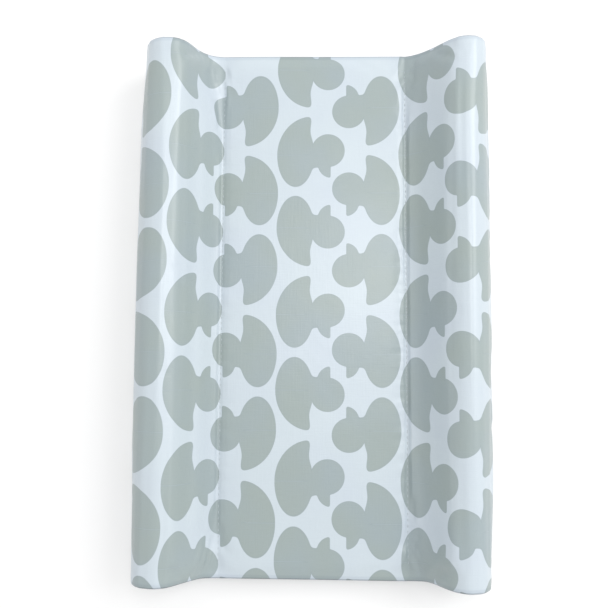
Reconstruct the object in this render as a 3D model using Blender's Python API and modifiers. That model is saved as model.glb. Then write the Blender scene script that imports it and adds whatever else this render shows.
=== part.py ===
"""Wipe-clean changing pad: a sewn, coated cotton cover around three fillings.

Metres, +Z up, +Y towards the head end, +X across, origin at the middle of the underside.
The cross-section is one half profile in X and Z. Each layer is that profile, inset, drawn out along Y.
"""

import math

import bmesh
import bpy
from mathutils import Matrix, Vector

# --- driving dimensions -------------------------------------------------------------------------
LENGTH = 0.700  # head to foot
WIDTH = 0.450  # over the bolsters' sides
CREST_HEIGHT = 0.100  # top of the bolsters
CREST_X = 0.198  # middle of the crest
SIDE_HEIGHT = 0.062  # height of the widest place
HEM_X = 0.220  # half width at the floor
STITCH_X = 0.1235  # topstitch line at the bolster's inner foot
STITCH_HEIGHT = 0.040  # cover height along the topstitch line
TROUGH_HEIGHT = 0.036  # cover height in the middle of the trough
SLOPE_X = 0.157  # middle of the bolster's inner slope
SLOPE_HEIGHT = 0.072
FLAT_REACH = (0.060, 0.100)  # X of the handles of the trough's arc
STITCH_REACH = (0.013, 0.002)  # from the stitch line to the handle of the slope's arc
SLOPE_REACH = (0.016, 0.017)  # from the middle of the slope, down it and up it
CREST_REACH = (0.016, 0.015)  # from the crest, inwards and outwards
SIDE_REACH = (0.022, 0.024)  # from the widest place, up and down
HEM_REACH = (0.002, 0.018)  # outwards from the hem, and the height of that handle
SLOPE_ANGLE = math.radians(53)

COATED = 0.0010  # coated cotton of the cover
LINING = 0.0006  # the dividers' lining cloth
GAP = 0.0003  # left between pieces that touch
PANEL_RECESS = 0.005  # end panels stand this far inside the top cover's ends
FOOT_FILLING_END = 0.3408  # the fillings stop short of the zip's back plate

THREAD_RADIUS = 0.00035
THREAD_INSET = 0.012  # the topstitching stops short of the ends

# --- zip in the foot end ------------------------------------------------------------------------
ZIP_HEIGHT = 0.017  # centre line
ZIP_MOUTH = 0.013  # between the hems of the two foot pieces
ZIP_SPLIT = 0.0006  # half the space between the two coils
COIL_DEPTH = 0.0020
COIL_WIDTH = 0.0024
COIL_HALF_LENGTH = 0.195
TAPE_THICKNESS = 0.0006
TAPE_WIDTH = 0.0124
STOP_LENGTH = 0.003
SLIDER_X = 0.1895  # closed
SLIDER_LENGTH = 0.0105
SLIDER_WIDTH = 0.009
PLATE_THICKNESS = 0.0010
FLANGE = 0.0012
BRIDGE_LENGTH = 0.004
BRIDGE_THICKNESS = 0.0006
BAIL_LENGTH = 0.009
BAIL_WIDTH = 0.0022
BAIL_THICKNESS = 0.0007
BAIL_CLEAR = 0.0019  # under the bail
SLIDER_EASE = 0.0005  # between its flanges and the tape, and all round its back plate
JOIN_OVERLAP = 0.0002  # how far the slider's joined boxes run into each other
COIL_BEVEL = 0.0005
STOP_BEVEL = 0.0004
PULL_THICKNESS = 0.0012
PULL_LENGTH = 0.028
PULL_WIDTH = 0.0085
PULL_BAR = 0.0012
PULL_WINDOW = 0.0062
PULL_ARM = 0.0014
PULL_TIP_LENGTH = 0.0025
PULL_TIP_SHARES = (0.82, 0.35)  # of the half width, where the tip starts and ends

LABEL_WIDTH = 0.026
LABEL_HEIGHT = 0.036
LABEL_TOP = 0.080
LABEL_X = 0.196
LABEL_THICKNESS = 0.0004

PROFILE_STEPS = 9  # straight pieces in each arc of the profile

# --- levels worked out from them ----------------------------------------------------------------
INSIDE = COATED + GAP  # from the cover's outer face to what it holds
FLOOR_OF_FILLING = COATED + GAP
PANEL_FACE = LENGTH / 2 - PANEL_RECESS
PANEL_BACK = PANEL_FACE - COATED
TAPE_FACE = PANEL_BACK - GAP
TAPE_BACK = TAPE_FACE - TAPE_THICKNESS
COIL_BACK = TAPE_FACE + GAP
COIL_FACE = COIL_BACK + COIL_DEPTH
PLATE_BACK = COIL_FACE + GAP
PLATE_FACE = PLATE_BACK + PLATE_THICKNESS
BACK_PLATE_FACE = TAPE_BACK - GAP
PULL_AXIS_Y = -(PLATE_FACE + BAIL_CLEAR / 2)


def clear_scene():
    for old in list(bpy.data.objects):
        bpy.data.objects.remove(old, do_unlink=True)


def new_collection(name):
    made = bpy.data.collections.new(name)
    bpy.context.scene.collection.children.link(made)
    return made


def plain_material(name, colour, roughness, metallic=0.0):
    made = bpy.data.materials.new(name)
    made.use_nodes = True
    shader = made.node_tree.nodes["Principled BSDF"]
    shader.inputs["Base Color"].default_value = (*colour, 1.0)
    shader.inputs["Roughness"].default_value = roughness
    shader.inputs["Metallic"].default_value = metallic
    return made


# --- the half profile ---------------------------------------------------------------------------
def arc(start, start_handle, end_handle, end, steps=PROFILE_STEPS):
    """Points of a cubic Bezier arc, without its first one."""
    points = []
    for step in range(1, steps + 1):
        t = step / steps
        s = 1 - t
        a, b, c, d = s**3, 3 * s * s * t, 3 * s * t * t, t**3
        x = a * start[0] + b * start_handle[0] + c * end_handle[0] + d * end[0]
        z = a * start[1] + b * start_handle[1] + c * end_handle[1] + d * end[1]
        points.append((x, z))
    return points


def half_profile():
    """The cover's outer face from the middle of the trough to the hem, and where the stitch line falls."""
    middle = (0.0, TROUGH_HEIGHT)
    stitch = (STITCH_X, STITCH_HEIGHT)
    slope = (SLOPE_X, SLOPE_HEIGHT)
    crest = (CREST_X, CREST_HEIGHT)
    side = (WIDTH / 2, SIDE_HEIGHT)
    hem = (HEM_X, FLOOR_OF_FILLING)
    lean = Vector((math.cos(SLOPE_ANGLE), math.sin(SLOPE_ANGLE)))
    below = Vector(slope) - lean * SLOPE_REACH[0]
    above = Vector(slope) + lean * SLOPE_REACH[1]
    points = [middle]
    near, far = FLAT_REACH
    points += arc(middle, (near, TROUGH_HEIGHT), (far, STITCH_HEIGHT), stitch)
    stitch_index = len(points) - 1
    rise = (STITCH_X + STITCH_REACH[0], STITCH_HEIGHT + STITCH_REACH[1])
    points += arc(stitch, rise, below, slope)
    points += arc(slope, above, (CREST_X - CREST_REACH[0], CREST_HEIGHT), crest)
    shoulder = (side[0], SIDE_HEIGHT + SIDE_REACH[0])
    points += arc(crest, (CREST_X + CREST_REACH[1], CREST_HEIGHT), shoulder, side)
    flank = (side[0], SIDE_HEIGHT - SIDE_REACH[1])
    points += arc(side, flank, (HEM_X + HEM_REACH[0], HEM_REACH[1]), hem)
    return points, stitch_index


def inset(points, distance):
    """The same open line moved to its inner side, square to itself."""
    moved = []
    for i, point in enumerate(points):
        before = Vector(points[max(i - 1, 0)])
        after = Vector(points[min(i + 1, len(points) - 1)])
        along = (after - before).normalized()
        moved.append((point[0] + along.y * distance, point[1] - along.x * distance))
    moved[0] = (points[0][0], points[0][1] - distance)
    last_x, last_z = moved[-1]
    moved[-1] = (last_x, points[-1][1])
    return moved


def mirrored(half):
    """A whole line from -X to +X out of a half that starts in the middle."""
    return [(-x, z) for x, z in reversed(half[1:])] + half


def height_at(line, x):
    """Height of a line that rises in X, at one place."""
    for (x0, z0), (x1, z1) in zip(line, line[1:]):
        if x0 <= x <= x1:
            return z0 + (z1 - z0) * (x - x0) / (x1 - x0)
    return line[-1][1]


# --- making pieces ------------------------------------------------------------------------------
def finish(piece, name, material, collection):
    piece.name = name
    piece.data.name = name
    piece.data.materials.clear()
    piece.data.materials.append(material)
    collection.objects.link(piece)
    return piece


def outline_piece(name, outlines, back, front, material, collection):
    """A flat outline in X and Z, drawn out along Y from back to front. Later outlines are holes."""
    curve = bpy.data.curves.new(name, "CURVE")
    curve.dimensions = "2D"
    curve.fill_mode = "BOTH"
    curve.extrude = (front - back) / 2
    for outline in outlines:
        spline = curve.splines.new("POLY")
        spline.points.add(len(outline) - 1)
        spline.use_cyclic_u = True
        for point, (x, z) in zip(spline.points, outline):
            point.co = (x, z, 0.0, 1.0)
    piece = bpy.data.objects.new(name, curve)
    piece.rotation_euler = (math.pi / 2, 0, 0)
    piece.location = (0, (front + back) / 2, 0)
    return finish(piece, name, material, collection)


def box_mesh(low, high, centre):
    made = bmesh.new()
    bmesh.ops.create_cube(made, size=1.0)
    size = Vector(high) - Vector(low)
    middle = (Vector(high) + Vector(low)) / 2 - Vector(centre)
    placing = Matrix.Translation(middle) @ Matrix.Diagonal((*size, 1))
    bmesh.ops.transform(made, matrix=placing, verts=made.verts)
    return made


def box_piece(name, low, high, material, collection, centre=(0, 0, 0), bevel=0.0):
    made = box_mesh(low, high, centre)
    mesh = bpy.data.meshes.new(name)
    made.to_mesh(mesh)
    made.free()
    piece = bpy.data.objects.new(name, mesh)
    piece.location = centre
    if bevel:
        rounding = piece.modifiers.new("rounded", "BEVEL")
        rounding.width = bevel
        rounding.segments = 2
    return finish(piece, name, material, collection)


def thread_piece(name, x, z, material, collection):
    curve = bpy.data.curves.new(name, "CURVE")
    curve.dimensions = "3D"
    curve.bevel_depth = THREAD_RADIUS
    curve.bevel_resolution = 1
    curve.use_fill_caps = True
    spline = curve.splines.new("POLY")
    spline.points.add(1)
    end = PANEL_FACE - THREAD_INSET
    for point, y in zip(spline.points, (-end, end)):
        point.co = (0, y, 0, 1.0)
    piece = bpy.data.objects.new(name, curve)
    piece.location = (x, 0, z)
    return finish(piece, name, material, collection)


# --- the cover ----------------------------------------------------------------------------------
def build_cover(collection, profile):
    printed = plain_material("printed_coated_cotton", (0.74, 0.80, 0.86), 0.42)
    plain = plain_material("plain_coated_cotton", (0.80, 0.84, 0.88), 0.45)
    lining = plain_material("lining_cloth", (0.85, 0.85, 0.83), 0.8)
    white_thread = plain_material("white_thread", (0.86, 0.88, 0.90), 0.6)

    outer = mirrored(profile)
    inner = mirrored(inset(profile, COATED))
    outline_piece(
        "top_cover", [outer + inner[::-1]], -LENGTH / 2, LENGTH / 2, printed, collection
    )
    box_piece(
        "base_cover",
        (-HEM_X, -PANEL_FACE, 0),
        (HEM_X, PANEL_FACE, COATED),
        plain,
        collection,
    )
    held = mirrored(inset(profile, INSIDE))
    panel_bottom = FLOOR_OF_FILLING
    outline_piece("head_end_panel", [held], PANEL_BACK, PANEL_FACE, printed, collection)

    mouth_top = ZIP_HEIGHT + ZIP_MOUTH / 2
    mouth_bottom = ZIP_HEIGHT - ZIP_MOUTH / 2
    upper_half = [point for point in inset(profile, INSIDE) if point[1] > mouth_top]
    upper_half.append((side_at(profile, mouth_top), mouth_top))
    outline_piece(
        "foot_end_panel", [mirrored(upper_half)], -PANEL_FACE, -PANEL_BACK, printed, collection
    )
    top_x = side_at(profile, mouth_bottom)
    bottom_x = side_at(profile, panel_bottom)
    strip = [
        (-bottom_x, panel_bottom),
        (-top_x, mouth_bottom),
        (top_x, mouth_bottom),
        (bottom_x, panel_bottom),
    ]
    outline_piece("foot_hem_strip", [strip], -PANEL_FACE, -PANEL_BACK, printed, collection)

    cover_underside = STITCH_HEIGHT - COATED - GAP
    for side, sign in (("left", -1), ("right", 1)):
        x = sign * STITCH_X
        box_piece(
            f"divider_{side}",
            (x - LINING / 2, -FOOT_FILLING_END, FLOOR_OF_FILLING),
            (x + LINING / 2, PANEL_BACK - GAP, cover_underside - GAP),
            lining,
            collection,
        )
        thread_height = STITCH_HEIGHT + GAP + 2 * THREAD_RADIUS
        thread_piece(f"topstitch_{side}", x, thread_height, white_thread, collection)

    half_label = LABEL_WIDTH / 2
    label_back = -(PANEL_FACE + GAP)
    label_low = (LABEL_X - half_label, label_back - LABEL_THICKNESS, LABEL_TOP - LABEL_HEIGHT)
    label_high = (LABEL_X + half_label, label_back, LABEL_TOP)
    label = plain_material("label_satin", (0.9, 0.9, 0.9), 0.5)
    box_piece("care_label", label_low, label_high, label, collection)


def side_at(profile, height):
    """How far out the space inside the cover reaches, below its widest place."""
    line = [(z, x) for x, z in reversed(inset(profile, INSIDE)) if z <= SIDE_HEIGHT and x > CREST_X]
    line[0] = (FLOOR_OF_FILLING, line[0][1])
    return height_at(line, height)


# --- the fillings -------------------------------------------------------------------------------
def build_fillings(collection, profile, stitch_index):
    foam = plain_material("filling_foam", (0.82, 0.80, 0.70), 0.95)
    back, front = -FOOT_FILLING_END, PANEL_BACK - GAP
    held = inset(profile, INSIDE)
    clear = LINING / 2 + GAP

    trough_edge = STITCH_X - clear
    middle = [point for point in held[:stitch_index] if point[0] < trough_edge]
    middle.append((trough_edge, height_at(held, trough_edge)))
    slab = [(-trough_edge, FLOOR_OF_FILLING)] + mirrored(middle) + [(trough_edge, FLOOR_OF_FILLING)]
    outline_piece("centre_foam", [slab], back, front, foam, collection)

    core_edge = STITCH_X + clear
    core = [(core_edge, FLOOR_OF_FILLING), (core_edge, height_at(held, core_edge))]
    core += [point for point in held[stitch_index + 1 :] if point[0] > core_edge + GAP]
    core[-1] = (core[-1][0], FLOOR_OF_FILLING)
    outline_piece("bolster_core_right", [core], back, front, foam, collection)
    other_core = [(-x, z) for x, z in reversed(core)]
    outline_piece("bolster_core_left", [other_core], back, front, foam, collection)


# --- the zip ------------------------------------------------------------------------------------
def build_zip(collection, cutters, profile):
    tape = plain_material("zip_tape", (0.62, 0.66, 0.68), 0.85)
    nylon = plain_material("zip_nylon", (0.66, 0.70, 0.72), 0.4)
    metal = plain_material("zip_metal", (0.72, 0.72, 0.71), 0.3, 1.0)

    for place, sign in (("upper", 1), ("lower", -1)):
        near = ZIP_HEIGHT + sign * ZIP_SPLIT
        far = ZIP_HEIGHT + sign * (ZIP_SPLIT + TAPE_WIDTH)
        tape_end = side_at(profile, min(near, far)) - GAP
        box_piece(
            f"zip_tape_{place}",
            (-tape_end, -TAPE_FACE, min(near, far)),
            (tape_end, -TAPE_BACK, max(near, far)),
            tape,
            collection,
        )
        coil_far = ZIP_HEIGHT + sign * (ZIP_SPLIT + COIL_WIDTH)
        box_piece(
            f"zip_coil_{place}",
            (-COIL_HALF_LENGTH, -COIL_FACE, min(near, coil_far)),
            (COIL_HALF_LENGTH, -COIL_BACK, max(near, coil_far)),
            nylon,
            collection,
            centre=(0, -(COIL_FACE + COIL_BACK) / 2, (near + coil_far) / 2),
            bevel=COIL_BEVEL,
        )
    stop_height = ZIP_SPLIT + COIL_WIDTH
    for side, sign in (("left", -1), ("right", 1)):
        near = sign * (COIL_HALF_LENGTH + GAP)
        far = sign * (COIL_HALF_LENGTH + GAP + STOP_LENGTH)
        box_piece(
            f"zip_stop_{side}",
            (min(near, far), -COIL_FACE, ZIP_HEIGHT - stop_height),
            (max(near, far), -COIL_BACK, ZIP_HEIGHT + stop_height),
            metal,
            collection,
            centre=((near + far) / 2, -(COIL_FACE + COIL_BACK) / 2, ZIP_HEIGHT),
            bevel=STOP_BEVEL,
        )
    build_slider(collection, cutters, metal)
    build_pull(collection, metal)


def build_slider(collection, cutters, metal):
    """Two plates joined by a thin bridge that runs between the coils, with a bail in front."""
    centre = (SLIDER_X, PULL_AXIS_Y, ZIP_HEIGHT)
    half_length, half_width = SLIDER_LENGTH / 2, SLIDER_WIDTH / 2

    def around(x_half, back, front, z_low, z_high, x_middle=0.0):
        low = (SLIDER_X + x_middle - x_half, -front, ZIP_HEIGHT + z_low)
        high = (SLIDER_X + x_middle + x_half, -back, ZIP_HEIGHT + z_high)
        return low, high

    plate = around(half_length, PLATE_BACK, PLATE_FACE, -half_width, half_width)
    slider = box_piece("zip_slider", *plate, metal, collection, centre=centre)
    flange_back = TAPE_FACE + SLIDER_EASE
    extras = {
        "slider_back_plate": around(
            half_length,
            BACK_PLATE_FACE - PLATE_THICKNESS,
            BACK_PLATE_FACE,
            -half_width + SLIDER_EASE,
            half_width - SLIDER_EASE,
        ),
        "slider_bridge": around(
            BRIDGE_LENGTH / 2,
            BACK_PLATE_FACE - JOIN_OVERLAP,
            PLATE_BACK + JOIN_OVERLAP,
            -BRIDGE_THICKNESS / 2,
            BRIDGE_THICKNESS / 2,
            x_middle=half_length - BRIDGE_LENGTH / 2,
        ),
        "slider_flange_upper": around(
            half_length, flange_back, PLATE_BACK + JOIN_OVERLAP, half_width - FLANGE, half_width
        ),
        "slider_flange_lower": around(
            half_length, flange_back, PLATE_BACK + JOIN_OVERLAP, -half_width, -half_width + FLANGE
        ),
    }
    for name, (low, high) in extras.items():
        add_to(slider, box_piece(name, low, high, metal, cutters))

    bail_top = PLATE_FACE + BAIL_CLEAR + BAIL_THICKNESS
    bail = box_piece(
        "slider_bail",
        *around(BAIL_LENGTH / 2, PLATE_FACE - JOIN_OVERLAP, bail_top, -BAIL_WIDTH / 2, BAIL_WIDTH / 2),
        metal,
        cutters,
    )
    eye = box_piece(
        "slider_bail_eye",
        *around(
            BAIL_LENGTH / 2 - BAIL_THICKNESS * 1.5,
            PLATE_FACE,
            PLATE_FACE + BAIL_CLEAR,
            -BAIL_WIDTH,
            BAIL_WIDTH,
        ),
        metal,
        cutters,
    )
    add_to(slider, bail)
    add_to(slider, eye, "DIFFERENCE")


def add_to(piece, other, operation="UNION"):
    other.hide_render = True
    other.display_type = "WIRE"
    joined = piece.modifiers.new(other.name, "BOOLEAN")
    joined.operation = operation
    joined.solver = "EXACT"
    joined.object = other


def build_pull(collection, metal):
    """A flat tab with a window for the bail. It lies towards -X, and turns about its bar, along Z."""
    half_width, half_bar = PULL_WIDTH / 2, PULL_BAR / 2
    window_far = -(half_bar + PULL_WINDOW)
    start_half, end_half = (share * half_width for share in PULL_TIP_SHARES)
    tip_start = -PULL_LENGTH + PULL_TIP_LENGTH
    outer = [(half_bar, -half_width), (half_bar, half_width), (window_far, half_width)]
    outer += [(tip_start, start_half), (-PULL_LENGTH, end_half), (-PULL_LENGTH, -end_half)]
    outer += [(tip_start, -start_half), (window_far, -half_width)]
    window_half = half_width - PULL_ARM
    window = [
        (-half_bar, -window_half),
        (-half_bar, window_half),
        (window_far, window_half),
        (window_far, -window_half),
    ]
    pull = outline_piece(
        "zip_pull", [outer, window], -PULL_THICKNESS / 2, PULL_THICKNESS / 2, metal, collection
    )
    pull.location = (SLIDER_X, PULL_AXIS_Y, ZIP_HEIGHT)


def main():
    clear_scene()
    pad = new_collection("changing_pad")
    cutters = new_collection("cutters")
    profile, stitch_index = half_profile()
    build_cover(pad, profile)
    build_fillings(pad, profile, stitch_index)
    build_zip(pad, cutters, profile)


main()
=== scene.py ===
"""The looks of a changing pad: a printed, coated cotton cover sewn around three fillings.

Metres, in the CAD model's frame: +Z up, +Y towards the head end, +X across.
The cover is one cloth. A point of it is u across and v along the uncut cloth, from its middle.
"""

import math

import bmesh
import bpy
import numpy as np
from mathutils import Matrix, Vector


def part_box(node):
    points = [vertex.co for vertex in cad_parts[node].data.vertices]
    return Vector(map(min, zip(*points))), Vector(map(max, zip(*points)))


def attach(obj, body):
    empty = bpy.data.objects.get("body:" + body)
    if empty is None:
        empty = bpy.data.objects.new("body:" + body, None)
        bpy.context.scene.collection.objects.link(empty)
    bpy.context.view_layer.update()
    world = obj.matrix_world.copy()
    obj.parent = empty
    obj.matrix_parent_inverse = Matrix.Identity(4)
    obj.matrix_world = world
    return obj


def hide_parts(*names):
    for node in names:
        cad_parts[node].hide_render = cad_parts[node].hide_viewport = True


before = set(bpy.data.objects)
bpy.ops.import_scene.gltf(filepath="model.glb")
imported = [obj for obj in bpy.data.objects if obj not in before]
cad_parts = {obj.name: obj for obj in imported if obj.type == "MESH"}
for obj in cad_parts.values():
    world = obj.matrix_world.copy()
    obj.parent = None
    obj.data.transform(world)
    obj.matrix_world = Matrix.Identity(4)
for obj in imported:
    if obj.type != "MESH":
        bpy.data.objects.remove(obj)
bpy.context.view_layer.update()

# --- sizes taken from the frame -----------------------------------------------------------------
HALF_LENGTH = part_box("top_cover")[1].y
CREST_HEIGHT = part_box("top_cover")[1].z
BASE_HALF_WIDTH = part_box("base_cover")[1].x
BASE_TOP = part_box("base_cover")[1].z
PANEL_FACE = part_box("head_end_panel")[1].y
FILLING_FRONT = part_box("centre_foam")[0].y
FILLING_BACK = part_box("centre_foam")[1].y
STITCH_LOW, STITCH_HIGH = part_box("topstitch_right")
STITCH_X = (STITCH_LOW.x + STITCH_HIGH.x) / 2
STITCH_HEIGHT = STITCH_LOW.z - 0.0003
STITCH_END = STITCH_HIGH.y
MOUTH_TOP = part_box("foot_end_panel")[0].z
MOUTH_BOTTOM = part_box("foot_hem_strip")[1].z
COIL_LOW, COIL_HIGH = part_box("zip_coil_upper")
LABEL_LOW, LABEL_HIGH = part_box("care_label")

# --- cloth and sewing ---------------------------------------------------------------------------
CLOTH = 0.0008
TROUGH_HEIGHT = 0.0405
END_ROLL = 0.0040  # radius of the cover's edge where it turns down to the end panels
LIP = 0.0048  # how far the cover's hem goes back in, over the end panels
SEAM_PITCH = 0.0075  # one topstitch and the gap after it
STITCH_LENGTH = 0.0046
HEM_PITCH = 0.0032
HEM_STITCH = 0.0023
PANEL_PRINT = 0.415  # where along the printed cloth the end panels' lower edges were cut
BEHIND_HEM = 0.0036  # how far inside the cover's outer face the end panels' edges lie
FILLING_DEPTH = 0.0024  # how far inside the cover's outer face the foam starts
FILLING_ROUND = 0.012  # how far in from its ends the foam starts to round off
FILLING_DROP = 0.010  # and how much lower it is at its ends
PUFF_LEAST = -0.0002  # how far the simulated cloth may sink, so that it stays off the filling
PUFF_LIMIT = 0.0030  # and how far the pressure of the filling may lift it


def bezier(start, start_handle, end_handle, end, steps=40):
    """Points along a curve, without its first one."""
    t = np.linspace(0, 1, steps + 1)[1:, None]
    s = 1 - t
    a, b, c, d = (np.array(point, float) for point in (start, start_handle, end_handle, end))
    return s**3 * a + 3 * s * s * t * b + 3 * s * t * t * c + t**3 * d


class Section:
    """A cross-section of the cover, from the middle of the trough over one bolster to the hem."""

    def __init__(self, foot_handle, slope, slope_degrees, crest, crest_reach, side, shoulder):
        angle = math.radians(slope_degrees)
        lean = np.array((math.cos(angle), math.sin(angle)))
        slope = np.array(slope)
        middle = (0.0, TROUGH_HEIGHT)
        stitch = (STITCH_X, STITCH_HEIGHT)
        hem = (BASE_HALF_WIDTH, BASE_TOP + 0.0003)
        rise = (STITCH_X + foot_handle[0], STITCH_HEIGHT + foot_handle[1])
        inner_crest = (crest[0] - crest_reach[0], crest[1])
        outer_crest = (crest[0] + crest_reach[1], crest[1])
        arcs = [
            bezier(middle, (0.060, TROUGH_HEIGHT), (0.100, STITCH_HEIGHT), stitch),
            bezier(stitch, rise, slope - 0.016 * lean, slope),
            bezier(slope, slope + 0.017 * lean, inner_crest, crest),
            bezier(crest, outer_crest, (side[0], side[1] + shoulder), side),
            bezier(side, (side[0], side[1] - 0.024), (hem[0] + 0.002, 0.018), hem),
        ]
        points = np.concatenate([np.array([middle])] + arcs)
        steps = np.linalg.norm(np.diff(points, axis=0), axis=1)
        self.u = np.concatenate([[0], np.cumsum(steps)])
        self.x, self.z = points.T
        run_x, run_z = np.gradient(self.x, self.u), np.gradient(self.z, self.u)
        size = np.hypot(run_x, run_z)
        self.out_x, self.out_z = -run_z / size, run_x / size
        self.ends = np.cumsum([len(arc) for arc in arcs])


class Half:
    """One side of the cover: its section halfway along, and at the head and foot ends."""

    def __init__(self, tightness, bulge, taper, middle, head, foot):
        self.tightness = tightness  # how deep its seam pulls the cloth
        self.bulge = bulge  # how far the side swells beyond the section, halfway along
        self.taper = taper  # and how much more at the head end than at the foot
        self.sections = [Section(**middle), Section(**head), Section(**foot)]
        self.middle = self.sections[0]
        self.u = self.middle.u
        self.x, self.z = self.middle.x, self.middle.z
        self.stitch, self.slope, self.crest, self.side, self.hem = self.u[self.middle.ends]

    def place(self, u, v):
        """x, z and the outward direction's x and z, at places u across and v along."""
        head = step(v, 0.240, 0.345)
        foot = step(-v, 0.240, 0.345)
        shares = (1 - head - foot, head, foot)
        parts = []
        for name in ("x", "z", "out_x", "out_z"):
            values = (np.interp(u, self.u, getattr(each, name)) for each in self.sections)
            parts.append(sum(share * value for share, value in zip(shares, values)))
        return parts


def step(value, low, high):
    """0 below low, 1 above high, and a smooth rise between them."""
    t = np.clip((value - low) / (high - low), 0, 1)
    return t * t * (3 - 2 * t)


HALVES = {
    1: Half(
        tightness=1.0,
        bulge=0.0035,
        taper=0.0025,
        middle=dict(
            foot_handle=(0.013, 0.002),
            slope=(0.1595, 0.0685),
            slope_degrees=52,
            crest=(0.1971, CREST_HEIGHT + 0.0010),
            crest_reach=(0.0138, 0.0126),
            side=(0.2257, 0.0626),
            shoulder=0.0201,
        ),
        head=dict(
            foot_handle=(0.013, 0.001),
            slope=(0.1595, 0.0685),
            slope_degrees=53,
            crest=(0.1980, CREST_HEIGHT + 0.0035),
            crest_reach=(0.0165, 0.0150),
            side=(0.2257, 0.0640),
            shoulder=0.0290,
        ),
        foot=dict(
            foot_handle=(0.016, 0.001),
            slope=(0.1580, 0.0700),
            slope_degrees=62,
            crest=(0.1960, CREST_HEIGHT + 0.0040),
            crest_reach=(0.0200, 0.0150),
            side=(0.2257, 0.0626),
            shoulder=0.0290,
        ),
    ),
    -1: Half(
        tightness=0.15,
        bulge=0.0050,
        taper=-0.0010,
        middle=dict(
            foot_handle=(0.012, 0.0032),
            slope=(0.1565, 0.0725),
            slope_degrees=45,
            crest=(0.1940, CREST_HEIGHT + 0.0040),
            crest_reach=(0.0190, 0.0153),
            side=(0.2272, 0.0670),
            shoulder=0.0226,
        ),
        head=dict(
            foot_handle=(0.023, 0.0006),
            slope=(0.1605, 0.0745),
            slope_degrees=70,
            crest=(0.1940, CREST_HEIGHT + 0.0050),
            crest_reach=(0.0220, 0.0165),
            side=(0.2256, 0.0670),
            shoulder=0.0250,
        ),
        foot=dict(
            foot_handle=(0.016, 0.003),
            slope=(0.1585, 0.0720),
            slope_degrees=52,
            crest=(0.1940, CREST_HEIGHT + 0.0030),
            crest_reach=(0.0190, 0.0165),
            side=(0.2272, 0.0670),
            shoulder=0.0280,
        ),
    ),
}
HEAD_REACH = (0.0030, 0.0010)  # how far the cover stands past the head end, at its left and right seam
FOOT_REACH = 0.0026  # and past the foot end, in the trough

# Folds pressed into the cloth: u, v, direction in degrees from across, length, width, height.
FOLDS = [
    (-0.1150, 0.3270, 125, 0.030, 0.0028, 0.0017),
    (-0.1090, 0.3180, 118, 0.040, 0.0030, -0.0012),
    (-0.1280, 0.3080, 100, 0.036, 0.0026, 0.0014),
    (-0.1190, 0.2950, 97, 0.050, 0.0030, 0.0009),
    (-0.1330, -0.3230, 70, 0.026, 0.0024, 0.0014),
    (-0.1420, -0.3220, 68, 0.036, 0.0034, 0.0026),
    (-0.1530, -0.3200, 66, 0.036, 0.0034, 0.0022),
    (-0.1260, -0.3200, 86, 0.024, 0.0022, 0.0012),
    (0.1160, -0.3230, 60, 0.030, 0.0028, 0.0018),
    (0.1270, -0.3250, 120, 0.028, 0.0028, 0.0018),
    (0.1370, -0.3210, 112, 0.032, 0.0030, 0.0013),
    (0.1120, 0.3260, 64, 0.036, 0.0040, 0.0013),
    (0.1220, 0.3130, 74, 0.034, 0.0032, 0.0010),
]


def end_reach(u, v):
    """How far along Y the ends of the cover are pushed out by the filling."""
    share = step(u, -0.125, 0.125)
    head = HEAD_REACH[0] * (1 - share) + HEAD_REACH[1] * share
    foot = FOOT_REACH * step(-np.abs(u), -0.150, -0.120)
    return head * step(v, 0.200, 0.345) - foot * step(-v, 0.200, 0.345)


def cover_point(u, v, depth=0.0):
    """Where the cloth's point lies, depth below its outer face."""
    u, v, depth = np.broadcast_arrays(np.asarray(u, float), v, depth)
    place = np.empty(u.shape + (3,))
    for sign, half in HALVES.items():
        mine = u * sign >= 0
        x, z, out_x, out_z = half.place(np.abs(u[mine]), v[mine])
        along = v[mine] / HALF_LENGTH
        outer = np.clip((x - 0.150) / 0.075, 0, 1.2) * step(z, 0.010, 0.045)
        x = x + outer * (half.bulge * (1 - along**2) + half.taper * along) - depth[mine] * out_x
        z = z - depth[mine] * out_z
        place[mine] = np.stack([sign * x, v[mine] + end_reach(u[mine], v[mine]), z], axis=-1)
    return place


def roll_share(u):
    """How full the turned edge of the ends is: it thins out down the sides, towards the base."""
    share = np.ones(np.shape(u))
    for sign, half in HALVES.items():
        share -= 0.55 * step(u * sign, half.side, half.hem - 0.012)
    return share


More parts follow.
